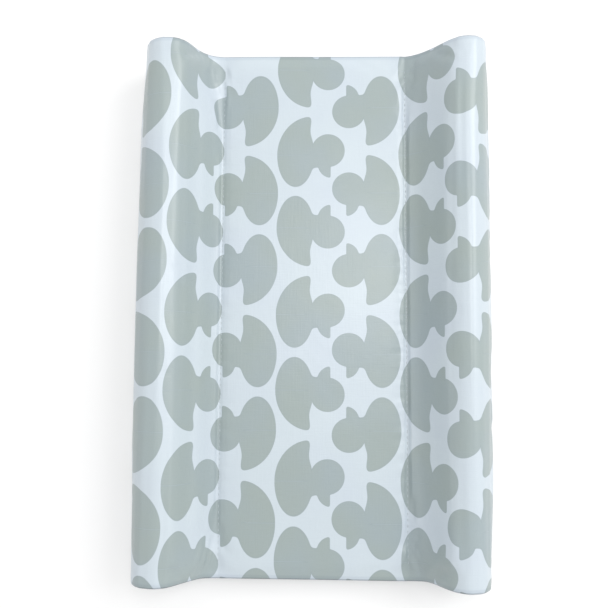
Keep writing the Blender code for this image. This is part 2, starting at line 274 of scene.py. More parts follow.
def relief(u, v):
    """How far the sewing and the folds lift the cloth from the plain section."""
    lift = np.zeros(np.broadcast(u, v).shape)
    for sign, half in HALVES.items():
        from_seam = u * sign - half.stitch
        sewn = step(-np.abs(v), -HALF_LENGTH, -HALF_LENGTH + 0.010) * half.tightness
        pull = 0.75 + 0.25 * np.cos(2 * math.pi * v / SEAM_PITCH)
        wander = 0.0006 * np.sin(37 * v + sign) + 0.0004 * np.sin(91 * v)
        valley = np.exp(-(((from_seam - wander) / 0.0022) ** 2)) * 0.0011 * pull
        pinch = np.exp(-((from_seam / 0.0075) ** 2)) * 0.0010
        fold = np.exp(-(((from_seam + 0.0046 - wander) / 0.0011) ** 2)) * 0.0004
        lift += sewn * (fold - valley - pinch)
        crown = step(u * sign, half.slope, half.crest) * step(-u * sign, -half.hem, -half.side)
        ripples = (
            0.22 * np.sin(2 * math.pi * u / 0.0190 + 1.6 * np.sin(5.1 * v + sign))
            + 0.16 * np.sin(2 * math.pi * u / 0.0113 + 2.1 * np.sin(7.7 * v + 2 * sign))
            + 0.10 * np.sin(2 * math.pi * u / 0.0071 + 1.2 * np.sin(13.0 * v))
        )
        lift += crown * 0.0010 * ripples
    for at_u, at_v, degrees, length, width, height in FOLDS:
        turn = math.radians(degrees)
        along = (u - at_u) * math.cos(turn) + (v - at_v) * math.sin(turn)
        across = (v - at_v) * math.cos(turn) - (u - at_u) * math.sin(turn)
        bow = across - 6.0 * along**2
        lift += height * np.exp(-((along / (0.5 * length)) ** 2) - (bow / width) ** 2)
    flat = step(-np.abs(u), -0.118, -0.100)
    swells = np.sin(23 * v + 9 * u) * np.sin(31 * u - 5 * v) + 0.5 * np.sin(61 * v - 17 * u)
    lift += flat * 0.00022 * swells
    return lift


# --- node helpers -------------------------------------------------------------------------------
class Nodes:
    """Short forms for making a material's nodes."""

    def __init__(self, tree):
        self.tree = tree

    def add(self, kind, **values):
        node = self.tree.nodes.new(kind)
        for name, value in values.items():
            setattr(node, name, value)
        return node

    def put(self, socket, value):
        if isinstance(value, bpy.types.NodeSocket):
            self.tree.links.new(value, socket)
        else:
            socket.default_value = value

    def math(self, operation, *values):
        node = self.add("ShaderNodeMath", operation=operation)
        for socket, value in zip(node.inputs, values):
            self.put(socket, value)
        return node.outputs[0]

    def mix(self, factor, first, second, blend="MIX"):
        node = self.add("ShaderNodeMix", data_type="RGBA", blend_type=blend)
        self.put(node.inputs[0], factor)
        self.put(node.inputs[6], first)
        self.put(node.inputs[7], second)
        return node.outputs[2]

    def ramp(self, value, low, high, to_low=0.0, to_high=1.0):
        node = self.add("ShaderNodeMapRange", interpolation_type="SMOOTHSTEP")
        for socket, given in zip(node.inputs, (value, low, high, to_low, to_high)):
            self.put(socket, given)
        return node.outputs[0]

    def noise(self, vector, scale, detail=2.0, roughness=0.5):
        node = self.add("ShaderNodeTexNoise")
        self.put(node.inputs["Vector"], vector)
        self.put(node.inputs["Scale"], scale)
        self.put(node.inputs["Detail"], detail)
        self.put(node.inputs["Roughness"], roughness)
        return node.outputs[0]

    def stretched(self, first, second, scale_first, scale_second):
        """A vector whose two parts are scaled apart, for noise drawn out in one direction."""
        node = self.add("ShaderNodeCombineXYZ")
        self.put(node.inputs[0], self.math("MULTIPLY", first, scale_first))
        self.put(node.inputs[1], self.math("MULTIPLY", second, scale_second))
        return node.outputs[0]

    def split(self, vector):
        node = self.add("ShaderNodeSeparateXYZ")
        self.put(node.inputs[0], vector)
        return node.outputs

    def bump(self, height, distance, strength=1.0, under=None):
        node = self.add("ShaderNodeBump")
        self.put(node.inputs["Height"], height)
        self.put(node.inputs["Distance"], distance)
        self.put(node.inputs["Strength"], strength)
        if under:
            self.put(node.inputs["Normal"], under)
        return node.outputs[0]


def new_material(name, **constants):
    """A material, its node helper and its shader, with the given numbers on the shader's own sockets."""
    made = bpy.data.materials.new(name)
    made.use_nodes = True
    shader = made.node_tree.nodes["Principled BSDF"]
    for socket, value in constants.items():
        shader.inputs[socket.replace("_", " ")].default_value = value
    return made, Nodes(made.node_tree), shader


# --- the print ----------------------------------------------------------------------------------
REPEAT_ACROSS = 0.1645
REPEAT_ALONG = 0.10895  # one motif; the next is its mirror image
RIGHT_FACING = (-0.0502, 0.2692)  # a body's outer edge across, and a tail-to-tail line along
LEFT_FACING = (-0.0487, 0.2166)
LEFT_FACING_START = LEFT_FACING[1] + REPEAT_ALONG
BODY_MIDDLE = 0.0589  # along, from the tail-to-tail line
BODY_TAIL = (0.0470, 0.0528)  # half axes of the body's tail half
BODY_BREAST = (0.0251, 0.0439)  # and of its breast half
HEAD = (0.0690, 0.0530, 0.0225)  # across, along, radius
NECK = (0.0530, 0.0655, 0.0105)
BEAK = (0.0740, 0.0720, 0.0187)
BEAK_EDGE = 0.0725


def motif_group():
    """A plain bath duck, as a field that is below 0 inside it. Across and Along are in metres."""
    group = bpy.data.node_groups.new("duck_motif", "ShaderNodeTree")
    for name in ("Across", "Along"):
        group.interface.new_socket(name, in_out="INPUT", socket_type="NodeSocketFloat")
    group.interface.new_socket("Field", in_out="OUTPUT", socket_type="NodeSocketFloat")
    n = Nodes(group)
    across, along = n.add("NodeGroupInput").outputs[:2]

    def ellipse(centre_across, centre_along, half_across, half_along):
        x = n.math("DIVIDE", n.math("SUBTRACT", across, centre_across), half_across)
        y = n.math("DIVIDE", n.math("SUBTRACT", along, centre_along), half_along)
        square = n.math("ADD", n.math("MULTIPLY", x, x), n.math("MULTIPLY", y, y))
        reach = n.math("SUBTRACT", n.math("SQRT", square), 1.0)
        return n.math("MULTIPLY", reach, min(half_across, half_along))

    tail_ellipse = ellipse(BODY_TAIL[0], BODY_MIDDLE, *BODY_TAIL)
    wave = n.math("MULTIPLY", n.math("SINE", n.math("MULTIPLY", along, 170.0)), 0.0012)
    lean = n.math("MULTIPLY", along, 0.085)
    behind_wing = n.math("SUBTRACT", across, n.math("ADD", n.math("ADD", lean, wave), 0.0440))
    tail = n.math("SMOOTH_MAX", tail_ellipse, behind_wing, 0.008)
    tail = n.math("MAXIMUM", tail, n.math("SUBTRACT", along, BODY_MIDDLE))
    breast_ellipse = ellipse(BODY_BREAST[0], BODY_MIDDLE, *BODY_BREAST)
    breast = n.math("MAXIMUM", breast_ellipse, n.math("SUBTRACT", BODY_MIDDLE, along))
    body = n.math("MINIMUM", tail, breast)

    head = ellipse(*HEAD, HEAD[2])
    neck = ellipse(*NECK, NECK[2])
    beak = n.math("SMOOTH_MAX", ellipse(*BEAK, BEAK[2]), n.math("SUBTRACT", across, BEAK_EDGE), 0.005)
    beak = n.math("MAXIMUM", beak, n.math("SUBTRACT", BEAK[1], along))
    front = n.math("SMOOTH_MIN", head, beak, 0.002)
    throat = n.math("SMOOTH_MIN", neck, breast, 0.010)
    throat = n.math("SMOOTH_MIN", throat, front, 0.004)
    n.put(n.add("NodeGroupOutput").inputs[0], n.math("MINIMUM", body, throat))
    return group


MOTIF = motif_group()


def print_field(n, u, v):
    """A field that is below 0 inside the printed motifs."""
    fields = []
    for (edge, line), direction in ((RIGHT_FACING, 1.0), (LEFT_FACING, -1.0)):
        across = n.math("MULTIPLY", n.math("SUBTRACT", u, edge), direction)
        motif = n.add("ShaderNodeGroup", node_tree=MOTIF)
        n.put(motif.inputs[0], n.math("FLOORED_MODULO", across, REPEAT_ACROSS))
        n.put(motif.inputs[1], n.math("PINGPONG", n.math("SUBTRACT", line, v), REPEAT_ALONG))
        fields.append(motif.outputs[0])
    fields[1] = n.math("MAXIMUM", fields[1], n.math("SUBTRACT", v, LEFT_FACING_START))
    return n.math("MINIMUM", *fields)


GROUND = (0.534, 0.599, 0.641, 1.0)
GROUND_COOL = (0.519, 0.580, 0.637, 1.0)
SAGE = (0.300, 0.352, 0.338, 1.0)
SAGE_COOL = (0.298, 0.356, 0.374, 1.0)
# painted shade for the cover's turned ends: a band near each end, and a darker line where the edge rolls
# down
EDGE_SHADE = (0.90, 0.91, 0.93, 1.0)
ROLL_SHADE = (0.60, 0.61, 0.64, 1.0)
INK_RIM = (0.255, 0.310, 0.325, 1.0)


def coated_cotton(name, printed, shade_turned_ends=False):
    """Plain-weave cotton under a thin satin coat. Its UV map, cloth, holds u and v in metres."""
    made, n, shader = new_material(
        name, Specular_IOR_Level=0.5, Sheen_Weight=0.10, Sheen_Roughness=0.5
    )
    uv = n.add("ShaderNodeUVMap", uv_map="cloth").outputs[0]
    u, v, _ = n.split(uv)

    cloud = n.noise(uv, 9.0, 3.0)
    ground = n.mix(n.ramp(cloud, 0.35, 0.7), GROUND, GROUND_COOL)
    colour = ground
    if printed:
        field = print_field(n, u, v)
        inside = n.ramp(field, -0.00035, 0.00035, 1.0, 0.0)
        sage = n.mix(n.ramp(cloud, 0.3, 0.75), SAGE, SAGE_COOL)
        rim = n.math("MULTIPLY", n.ramp(field, -0.0016, -0.0003), inside)
        sage = n.mix(n.math("MULTIPLY", rim, 0.45), sage, INK_RIM)
        speck = n.noise(uv, 900.0, 1.0)
        sage = n.mix(n.math("MULTIPLY", speck, 0.10), sage, ground)
        colour = n.mix(inside, ground, sage)

    # warp and weft, each thread a little thicker or thinner than the next
    threads = []
    for across, along in ((u, v), (v, u)):
        slub = n.noise(n.stretched(across, along, 1400.0, 55.0), 1.0, 2.0)
        wave = n.math("SINE", n.math("MULTIPLY", across, 2 * math.pi / 0.0011))
        threads.append(n.math("ADD", n.math("MULTIPLY", wave, 0.25), slub))
    weave = n.math("MULTIPLY", n.math("ADD", *threads), 0.5)
    tint = n.mix(n.ramp(weave, 0.15, 0.85), (0.945, 0.950, 0.955, 1.0), (1.0, 1.0, 1.0, 1.0))
    colour = n.mix(1.0, colour, tint, "MULTIPLY")
    if shade_turned_ends:
        # painted shade: the cloth is drawn darker near the turned ends, and darkest where the rolled edge
        # turns down away from the light
        from_end = n.math("SUBTRACT", n.math("ABSOLUTE", v), HALF_LENGTH)
        edge_shade_mask = n.ramp(from_end, -0.0075, -0.0045)
        colour = n.mix(edge_shade_mask, colour, n.mix(1.0, colour, EDGE_SHADE, "MULTIPLY"))
        # painted shade along the turn itself, where the edge faces away from the light
        turned = n.ramp(from_end, -0.0026, -0.0014)
        turned = n.math("MULTIPLY", turned, n.ramp(from_end, 0.0020, 0.0040, 1.0, 0.0))
        colour = n.mix(turned, colour, n.mix(1.0, colour, ROLL_SHADE, "MULTIPLY"))
    n.put(shader.inputs["Base Color"], colour)
    n.put(shader.inputs["Roughness"], n.math("ADD", 0.28, n.math("MULTIPLY", weave, 0.10)))

    crinkle = n.noise(uv, 26.0, 3.0, 0.55)
    soft = n.bump(crinkle, 0.0012, 0.35)
    ribs_across = n.noise(n.stretched(u, v, 45.0, 520.0), 1.0)
    ribs_along = n.noise(n.stretched(u, v, 420.0, 30.0), 1.0)
    ribs = n.math("ADD", ribs_across, ribs_along)
    ribbed = n.bump(ribs, 0.00035, 0.30, under=soft)
    n.put(shader.inputs["Normal"], n.bump(weave, 0.00012, 0.30, under=ribbed))
    return made


# --- other materials ----------------------------------------------------------------------------
def woven(name, colour, shadow, thread, roughness, diagonal=False):
    """Uncoated cloth or tape with visible threads, by its place in metres."""
    made, n, shader = new_material(name, Roughness=roughness, Sheen_Weight=0.25)
    x, y, z = n.split(n.add("ShaderNodeTexCoord").outputs["Object"])
    across = n.math("ADD", y, z)
    first = n.math("SINE", n.math("MULTIPLY", x, 2 * math.pi / thread))
    shifted = n.math("ADD", across, x) if diagonal else across
    second = n.math("SINE", n.math("MULTIPLY", shifted, 2 * math.pi / thread))
    both = n.math("MULTIPLY", n.math("ADD", first, second), 0.5)
    slub = n.noise(n.stretched(x, across, 900.0, 300.0), 1.0, 2.0)
    height = n.math("ADD", n.math("MULTIPLY", both, 0.5), slub)
    n.put(shader.inputs["Base Color"], n.mix(n.ramp(height, -0.1, 1.0), shadow, colour))
    n.put(shader.inputs["Normal"], n.bump(height, 0.00015, 0.6))
    return made


def open_foam():
    made, n, shader = new_material("open_foam", Roughness=0.95, Sheen_Weight=0.1)
    place = n.add("ShaderNodeTexCoord").outputs["Object"]
    cells = n.add("ShaderNodeTexVoronoi")
    n.put(cells.inputs["Vector"], place)
    n.put(cells.inputs["Scale"], 620.0)
    # painted shade: the open pores are drawn darker than the foam around them
    pores = n.ramp(cells.outputs[0], 0.15, 0.6)
    ageing = n.ramp(n.noise(place, 18.0, 3.0), 0.35, 0.7)
    body = n.mix(ageing, (0.80, 0.77, 0.64, 1.0), (0.76, 0.71, 0.55, 1.0))
    n.put(shader.inputs["Base Color"], n.mix(pores, (0.55, 0.51, 0.40, 1.0), body))
    n.put(shader.inputs["Normal"], n.bump(pores, 0.0006, 0.7))
    return made


def spun_thread(name, colour):
    made, n, shader = new_material(name, Roughness=0.5, Sheen_Weight=0.2)
    x, y, z = n.split(n.add("ShaderNodeTexCoord").outputs["Object"])
    lay = n.math("ADD", y, n.math("MULTIPLY", n.math("ADD", x, z), 1.6))
    twist = n.math("SINE", n.math("MULTIPLY", lay, 2 * math.pi / 0.0009))
    shade = n.ramp(twist, -0.9, 0.5)
    dark = tuple(0.72 * part for part in colour) + (1.0,)
    n.put(shader.inputs["Base Color"], n.mix(shade, dark, (*colour, 1.0)))
    n.put(shader.inputs["Normal"], n.bump(twist, 0.0001, 0.5))
    return made


def label_satin():
    made, n, shader = new_material("satin_ribbon", Sheen_Weight=0.4)
    x, y, z = n.split(n.add("ShaderNodeTexCoord").outputs["Object"])
    floats = n.noise(n.stretched(x, z, 2600.0, 140.0), 1.0, 2.0)
    n.put(shader.inputs["Base Color"], n.mix(floats, (0.78, 0.79, 0.80, 1.0), (0.90, 0.90, 0.90, 1.0)))
    n.put(shader.inputs["Roughness"], n.ramp(floats, 0.2, 0.8, 0.32, 0.48))
    n.put(shader.inputs["Normal"], n.bump(floats, 0.0001, 0.5))
    return made


def moulded_nylon():
    made, n, shader = new_material("moulded_nylon", Specular_IOR_Level=0.5)
    place = n.add("ShaderNodeTexCoord").outputs["Object"]
    mottle = n.noise(place, 700.0, 2.0)
    n.put(shader.inputs["Base Color"], n.mix(mottle, (0.36, 0.42, 0.44, 1.0), (0.47, 0.53, 0.55, 1.0)))
    n.put(shader.inputs["Roughness"], n.ramp(mottle, 0.2, 0.8, 0.30, 0.46))
    n.put(shader.inputs["Normal"], n.bump(mottle, 0.00005, 0.4))
    return made


def brushed_metal():
    made, n, shader = new_material("brushed_zinc", Metallic=1.0)
    x, y, z = n.split(n.add("ShaderNodeTexCoord").outputs["Object"])
    brushed = n.noise(n.stretched(z, n.math("ADD", x, y), 9000.0, 300.0), 1.0, 2.0)
    tone = n.mix(brushed, (0.46, 0.46, 0.45, 1.0), (0.66, 0.66, 0.64, 1.0))
    n.put(shader.inputs["Base Color"], tone)
    n.put(shader.inputs["Roughness"], n.ramp(brushed, 0.2, 0.8, 0.22, 0.40))
    n.put(shader.inputs["Normal"], n.bump(brushed, 0.00003, 0.4))
    return made


PRINTED = coated_cotton("printed_cotton", printed=True)
PRINTED_COVER = coated_cotton("printed_cover_cotton", printed=True, shade_turned_ends=True)
PLAIN = coated_cotton("plain_cotton", printed=False)
LINING = woven("lining_calico", (0.74, 0.73, 0.69, 1.0), (0.56, 0.55, 0.51, 1.0), 0.0012, 0.85)
TAPE = woven("herringbone_tape", (0.42, 0.47, 0.49, 1.0), (0.28, 0.33, 0.35, 1.0), 0.0009, 0.8, True)
FOAM = open_foam()
THREAD = spun_thread("sewing_thread", (0.48, 0.54, 0.57))
SATIN = label_satin()
NYLON = moulded_nylon()
METAL = brushed_metal()


# --- meshes -------------------------------------------------------------------------------------
def link(name, mesh, material, smooth=True):
    mesh.materials.append(material)
    if smooth:
        mesh.shade_smooth()
    piece = bpy.data.objects.new(name, mesh)
    bpy.context.scene.collection.objects.link(piece)
    return piece


def grid_mesh(name, places, cloth=None):
    """A mesh out of an array of rows by columns of points, with a UV map of the cloth's own places."""
    rows, columns = places.shape[:2]
    first = (np.arange(rows - 1)[:, None] * columns + np.arange(columns - 1)).ravel()
    faces = np.stack([first, first + 1, first + columns + 1, first + columns], axis=1)
    mesh = bpy.data.meshes.new(name)
    mesh.from_pydata(places.reshape(-1, 3).tolist(), [], faces.tolist())
    if cloth is not None:
        layer = mesh.uv_layers.new(name="cloth")
        corners = np.zeros(len(mesh.loops), int)
        mesh.loops.foreach_get("vertex_index", corners)
        layer.data.foreach_set("uv", cloth.reshape(-1, 2)[corners].astype(np.float32).ravel())
    return mesh


def cloth_piece(name, places, cloth, material, thickness=CLOTH, offset=-1.0):
    piece = link(name, grid_mesh(name, places, cloth), material)
    thick = piece.modifiers.new("cloth", "SOLIDIFY")
    thick.thickness = thickness
    thick.offset = offset
    return piece


def tubes_mesh(name, paths, radius, up, sides=6):
    """Round threads along paths, each closed at both ends. Its thickness is radius at each point."""
    turn = np.arange(sides) * 2 * math.pi / sides
    points, faces = [], []
    for path in paths:
        start = sum(len(each) for each in points)
        along = np.gradient(path, axis=0)
        along /= np.linalg.norm(along, axis=1)[:, None]
        across = np.cross(along, up)
        across /= np.linalg.norm(across, axis=1)[:, None]
        over = np.cross(across, along)
        ends = np.broadcast_to(radius, len(path))[:, None, None]
        ring = np.cos(turn)[None, :, None] * across[:, None] + np.sin(turn)[None, :, None] * over[:, None]
        points.append((path[:, None] + ring * ends).reshape(-1, 3))
        for i in range(len(path) - 1):
            low = start + i * sides
            for k in range(sides):
                after = (k + 1) % sides
                faces.append((low + k, low + after, low + sides + after, low + sides + k))
        last = start + (len(path) - 1) * sides
        faces.append(tuple(range(start + sides - 1, start - 1, -1)))
        faces.append(tuple(range(last, last + sides)))
    mesh = bpy.data.meshes.new(name)
    mesh.from_pydata(np.concatenate(points).tolist(), [], faces)
    return mesh


def belongs(piece, body, slot, *nodes):
    """Ties a piece to its body and hides the CAD nodes it stands for. Its slot is not used."""
    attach(piece, body)
    if nodes:
        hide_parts(*nodes)
    return piece


# --- the filling presses the cloth out ----------------------------------------------------------
class Puff:
    """How far a short cloth simulation, under pressure from inside, moves each place of the cover."""

    CELL = 0.006

    def __init__(self):
        self.u = self.spread(-HALVES[-1].hem, HALVES[1].hem)
        self.v = self.spread(-HALF_LENGTH + END_ROLL, HALF_LENGTH - END_ROLL)
        self.move = np.zeros((len(self.v), len(self.u), 3))
        self.simulate()

    def spread(self, low, high):
        return np.linspace(low, high, round((high - low) / self.CELL) + 1)

    def simulate(self):
        rest = cover_point(self.u[None, :], self.v[:, None])
        mesh = grid_mesh("settling", rest)
        settling = bpy.data.objects.new("settling", mesh)
        bpy.context.scene.collection.objects.link(settling)
        held = np.zeros(rest.shape[:2], bool)
        held[[0, -1], :] = True
        held[:, [0, 1, -2, -1]] = True
        for sign, half in HALVES.items():
            held[:, np.argmin(np.abs(self.u - sign * half.stitch))] = True
        pins = settling.vertex_groups.new(name="pins")
        pins.add(np.flatnonzero(held).tolist(), 1.0, "REPLACE")
        cloth = settling.modifiers.new("cloth", "CLOTH").settings
        cloth.vertex_group_mass = "pins"
        cloth.use_pressure = True
        cloth.uniform_pressure_force = 4.0
        cloth.effector_weights.gravity = 0.0
        cloth.quality = 5
        cloth.mass = 0.25
        cloth.tension_stiffness = 18
        cloth.compression_stiffness = 18
        cloth.shear_stiffness = 6
        cloth.bending_stiffness = 0.4
        cloth.shrink_min = -0.006
        for number in range(1, 21):
            bpy.context.scene.frame_set(number)
        seen = settling.evaluated_get(bpy.context.evaluated_depsgraph_get())
        after = np.zeros(rest.size)
        seen.data.vertices.foreach_get("co", after)
        bpy.context.scene.frame_set(1)
        bpy.data.objects.remove(settling, do_unlink=True)
        move = after.reshape(rest.shape) - rest
        deeper = cover_point(self.u[None, :], self.v[:, None], 0.001)
        outward = (rest - deeper) / 0.001
        rise = np.sum(move * outward, axis=2, keepdims=True)
        move += outward * (np.clip(rise, PUFF_LEAST, PUFF_LIMIT) - rise)
        size = np.linalg.norm(move, axis=2, keepdims=True)
        self.move = move * (np.minimum(size, PUFF_LIMIT) / np.maximum(size, 1e-9))

    def at(self, u, v):
        """The move at any place, between the simulated ones."""
        v = np.clip(v, self.v[0], self.v[-1])
        i, s = self.cell(self.v, v)
        j, t = self.cell(self.u, u)
        s, t = s[..., None], t[..., None]
        low = self.move[i, j] * (1 - t) + self.move[i, j + 1] * t
        high = self.move[i + 1, j] * (1 - t) + self.move[i + 1, j + 1] * t
        return low * (1 - s) + high * s

    @staticmethod
    def cell(places, value):
        position = (value - places[0]) / (places[1] - places[0])
        index = np.clip(np.floor(position).astype(int), 0, len(places) - 2)
        return index, position - index


# --- the cover ----------------------------------------------------------------------------------
def cover_columns():
    """Places across the cloth: wide apart in the trough, close at the seams, even on the bolsters."""
    sides = []
    for sign, half in HALVES.items():
        before, after = half.stitch - 0.012, half.stitch + 0.012
        trough = np.linspace(0, before, 19)[:-1]
        seam = np.linspace(before, after, 19)[:-1]
        bolster = np.linspace(after, half.hem, 66)
        sides.append(sign * np.concatenate([trough, seam, bolster]))
    right, left = sides
    return np.concatenate([left[:0:-1], right])


def build_top_cover(puff):
    u = cover_columns()
    straight = HALF_LENGTH - END_ROLL
    stations = np.linspace(-straight, straight, 2 * round(straight / (SEAM_PITCH / 2)) + 1)
    turns = np.radians(np.linspace(0, 90, 7)[1:])
    turned = [(straight + END_ROLL * math.sin(t), END_ROLL * (1 - math.cos(t)), END_ROLL * t) for t in turns]
    turned.append((HALF_LENGTH - LIP, END_ROLL + 0.0004, END_ROLL * turns[-1] + LIP))
    y, depth, past = np.array(turned).T
    row_y = np.concatenate([-y[::-1], stations, y])
    row_depth = np.concatenate([depth[::-1], np.zeros(len(stations)), depth])
    row_v = np.concatenate([-straight - past[::-1], stations, straight + past])

    across, along = np.broadcast_arrays(u[None, :], row_y[:, None])
    inner = np.clip(along, -straight, straight)
    lift = relief(across, inner)
    depths = row_depth[:, None] * roll_share(u)[None, :] - lift
    places = cover_point(across, along, depths) + puff.at(across, inner)
    cloth = np.stack(np.broadcast_arrays(u[None, :], row_v[:, None]), axis=-1)
    piece = cloth_piece("cover_top_sheet", places, cloth, PRINTED_COVER)
    belongs(piece, "pad", "printed_coated_cotton", "top_cover")


def swelling(x, z, edge_height):
    """How far an end panel stands out, under a cover whose edge is at that height."""
    below_edge = step(edge_height - z, 0.000, 0.016)
    above_zip = step(z, 0.030, 0.052)
    full = 0.0012 + 0.0016 * step(edge_height, 0.045, 0.090)
    wave = 1 + 0.18 * np.sin(150 * x + 40 * z) + 0.12 * np.sin(310 * x - 25 * z)
    return full * below_edge * above_zip * wave


def end_panel(name, end, low, node):
    """The upright cloth of one end, from the height low up to just behind the top cover's hem."""
    face = PANEL_FACE - 0.0002
    reach = {}
    for sign, half in HALVES.items():
        ring = cover_point(sign * half.u, end * face, BEHIND_HEM * roll_share(sign * half.u))
        outer = half.u > half.crest
        reach[sign] = np.interp(-(low + 0.0004), -ring[outer, 2], half.u[outer])
    u = np.concatenate([np.linspace(-reach[-1], 0, 75)[:-1], np.linspace(0, reach[1], 75)])
    top = cover_point(u, end * face, BEHIND_HEM * roll_share(u))
    top[:, 1] = end * face
    foot_x = top[:, 0].copy()
    for sign, half in HALVES.items():
        outer = u * sign > half.slope
        share = (u[outer] * sign - half.slope) / (reach[sign] - half.slope)
        start = np.interp(sign * half.slope, u, top[:, 0])
        end_x = top[-1 if sign > 0 else 0, 0]
        foot_x[outer] = start + (end_x - start) * share
    foot = np.stack([foot_x, top[:, 1], np.full(len(u), low)], axis=1)
    t = np.linspace(0, 1, 17)[:, None, None]
    places = foot * (1 - t) + top * t
    x, z = places[..., 0], places[..., 2]
    places[..., 1] += end * swelling(x, z, top[:, 2])
    cloth = np.stack([x, end * (PANEL_PRINT - z)], axis=-1)
    if end > 0:
        places, cloth = places[:, ::-1], cloth[:, ::-1]
    piece = cloth_piece(name, places, cloth, PRINTED)
    belongs(piece, "pad", "printed_coated_cotton", node)


def build_hem_strip():
    x = np.linspace(-1, 1, 121)
    z = np.linspace(BASE_TOP + 0.0003, MOUTH_BOTTOM, 7)
    half_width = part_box("foot_hem_strip")[1].x - 0.0004
    across, up = np.meshgrid(x * half_width, z)
    places = np.stack([across, np.full(across.shape, -PANEL_FACE + 0.0002), up], axis=-1)
    cloth = np.stack([across, up - PANEL_PRINT], axis=-1)
    piece = cloth_piece("foot_hem_sheet", places, cloth, PRINTED)
    belongs(piece, "pad", "printed_coated_cotton", "foot_hem_strip")


def build_base():
    v = np.linspace(-PANEL_FACE, PANEL_FACE, 120)
    left = cover_point(-HALVES[-1].hem, v)[:, 0]
    right = cover_point(HALVES[1].hem, v)[:, 0]
    share = np.linspace(0, 1, 81)
    across = left[:, None] * (1 - share) + right[:, None] * share
    along = np.broadcast_to(v[:, None], across.shape)
    edge = np.minimum(np.abs(across - left[:, None]), np.abs(right[:, None] - across))
    height = BASE_TOP - 0.0001 * step(-edge, -0.004, 0)
    places = np.stack([across, along, height], axis=-1)
    cloth = np.stack([across, along], axis=-1)
    piece = cloth_piece("base_sheet", places, cloth, PLAIN)
    belongs(piece, "pad", "plain_coated_cotton", "base_cover")


def build_dividers():
    for side in ("left", "right"):
        node = f"divider_{side}"
        low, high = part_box(node)
        y, z = np.meshgrid(np.linspace(low.y, high.y, 90), np.linspace(low.z, high.z - 0.0012, 9))
        sway = 0.00010 * np.sin(60 * y) * np.sin(math.pi * (z - low.z) / (high.z - low.z))
        places = np.stack([(low.x + high.x) / 2 + sway, y, z], axis=-1)
        piece = cloth_piece(f"divider_sheet_{side}", places, None, LINING, high.x - low.x - 0.0002, 0.0)
        belongs(piece, "pad", "lining_cloth", node)


def build_label():
    """A blank ribbon, caught in the seam above it and curling a little at its free end."""
    x = np.linspace(LABEL_LOW.x, LABEL_HIGH.x, 15)
    t = np.linspace(0, 1, 19)
    across, down = np.meshgrid(x, t)
    z = LABEL_HIGH.z - down * (LABEL_HIGH.z - LABEL_LOW.z) * 0.995
    section = HALVES[1]
    to_crest = slice(len(section.x) * 3 // 5)
    edge_height = np.interp(np.abs(across), section.x[to_crest], section.z[to_crest])
    rest = PANEL_FACE + swelling(across, z, edge_height) + 0.0004
    curl = 0.0030 * down**3 + 0.0005 * np.sin(220 * across + 2) * down
    places = np.stack([across, -(rest + curl), z], axis=-1)
    piece = cloth_piece("blank_label", places, None, SATIN, 0.0003, 1.0)
    belongs(piece, "pad", "label_satin", "care_label")


# --- stitches -----------------------------------------------------------------------------------
def stitch_path(start, end, out, sink, rise):
    """A thread that comes up through the cloth, lies over it and goes down again."""
    t = np.linspace(0, 1, 7)[:, None]
    bow = np.sin(math.pi * t) ** 0.6
    return start * (1 - t) + end * t + out * (rise * bow - sink * (1 - bow))


def build_topstitching(puff):
    radius = np.array((0.7, 1.0, 1.1, 1.1, 1.1, 1.0, 0.7)) * 0.00036
    # the left seam lies deeper in its fold
    for side, sign, sink, rise in (("left", -1, 0.0006, 0.0001), ("right", 1, 0.0004, 0.0004)):
        seam = sign * HALVES[sign].stitch
        count = int(2 * STITCH_END / SEAM_PITCH)
        paths = []
        for k in range(count):
            middle = (k + 0.5 - count / 2) * SEAM_PITCH
            v = np.array((middle - STITCH_LENGTH / 2, middle + STITCH_LENGTH / 2))
            u = np.full(2, seam)
            ends = cover_point(u, v, -relief(u, v)) + puff.at(u, v)
            paths.append(stitch_path(ends[0], ends[1], np.array((0, 0, 1.0)), sink, rise))
        mesh = tubes_mesh(f"lockstitches_{side}", paths, radius, (0, 0, 1))
        piece = link(mesh.name, mesh, THREAD)
        belongs(piece, "pad", "white_thread", f"topstitch_{side}")


def build_hem_stitching():
    """Rows of small stitches that hold the zip's tapes to the hems of its mouth."""
    radius = np.array((0.7, 1.0, 1.1, 1.1, 1.1, 1.0, 0.7)) * 0.00022
    face = -(PANEL_FACE - 0.0002)
    for place, z in (("upper", MOUTH_TOP + 0.0022), ("lower", MOUTH_BOTTOM - 0.0022)):
        half_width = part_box("zip_tape_upper")[1].x - 0.004
        count = int(2 * half_width / HEM_PITCH)
        paths = []
        for k in range(count):
            x = (k + 0.5 - count / 2) * HEM_PITCH
            ends = np.array(((x - HEM_STITCH / 2, face, z), (x + HEM_STITCH / 2, face, z)))
            paths.append(stitch_path(ends[0], ends[1], np.array((0, -1.0, 0)), 0.0003, 0.0002))
        mesh = tubes_mesh(f"hem_stitches_{place}", paths, radius, (0, -1, 0), sides=5)
        belongs(link(mesh.name, mesh, THREAD), "pad", "white_thread")


